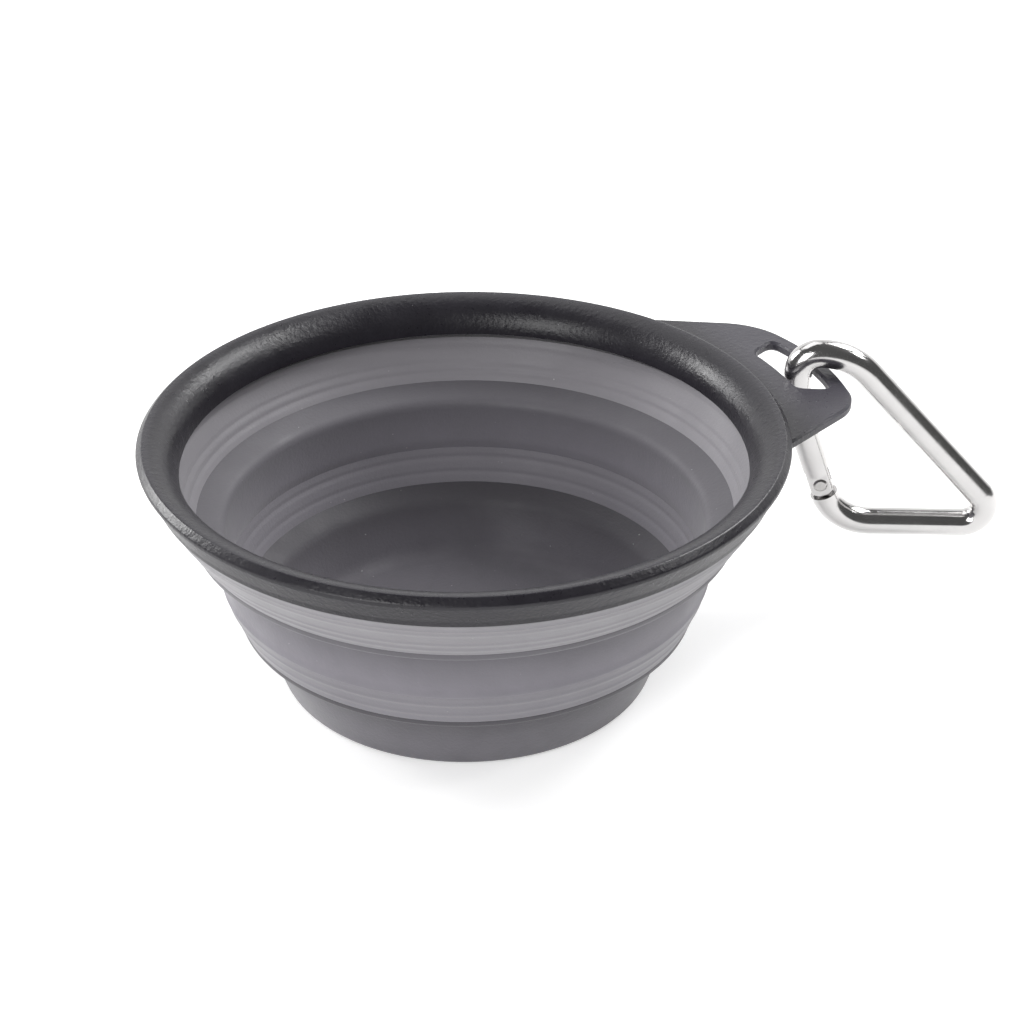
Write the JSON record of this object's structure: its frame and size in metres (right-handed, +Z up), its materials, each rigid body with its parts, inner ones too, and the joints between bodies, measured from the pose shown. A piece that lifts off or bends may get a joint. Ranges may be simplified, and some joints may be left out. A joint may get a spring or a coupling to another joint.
{
  "type": "collapsible travel pet bowl",
  "caption": "Two-tier collapsible silicone pet bowl with a hard rim, a slotted hang tab and a sprung-gate clip; each tier folds down and the clip swings and opens",
  "frame": {"origin": "centre of the bowl's foot, on the surface that it stands on", "axes": "+Z up along the bowl's axis, +X out through the middle of the hang tab, +Y to its left"},
  "size_m": [0.182, 0.1288, 0.0598],
  "materials": {
    "silicone": "matt cool-grey silicone",
    "rim_plastic": "fine-grained charcoal moulding",
    "clip_metal": "polished aluminium",
    "small_steel": "plain steel"
  },
  "bodies": {
    "base": {"base_cup": "silicone", "lower_fold": "silicone"},
    "ring": {"middle_ring": "silicone", "upper_fold": "silicone"},
    "rim": {"rim_frame": "rim_plastic", "silicone_collar": "silicone"},
    "clip": {"clip_body": "clip_metal"},
    "gate": {"clip_gate": "clip_metal", "gate_rivet": "small_steel", "latch_pin": "small_steel", "gate_spring": "small_steel"},
    "plunger": {"gate_plunger": "small_steel"}
  },
  "joints": [
    {"name": "lower_fold_slide", "type": "slide", "parent": "base", "child": "ring", "axis": [0, 0, -1], "range_m": [0, 0.0135], "deforming": ["lower_fold"]},
    {"name": "upper_fold_slide", "type": "slide", "parent": "ring", "child": "rim", "axis": [0, 0, -1], "range_m": [0, 0.0165], "deforming": ["upper_fold"]},
    {"name": "clip_swing", "type": "hinge", "parent": "rim", "child": "clip", "pos_m": [0.08, -0.0057, 0.0519], "axis": [0, -1, 0], "range_deg": [0, 90]},
    {"name": "gate_hinge", "type": "hinge", "parent": "clip", "child": "gate", "pos_m": [0.08198, -0.00364, 0.02525], "axis": [0.4373, 0.8966, 0.0698], "range_deg": [0, 22], "stiffness_Nm_per_rad": 0.015, "springref_deg": -91.67},
    {"name": "plunger_slide", "type": "slide", "parent": "gate", "child": "plunger", "axis": [-0.3259, 0.0857, 0.9415], "range_m": [0, 0.00026], "deforming": ["gate_spring"]}
  ],
  "couplings": [
    {"joint": "plunger_slide", "follows": "gate_hinge", "m_per_rad": 0.0006}
  ]
}
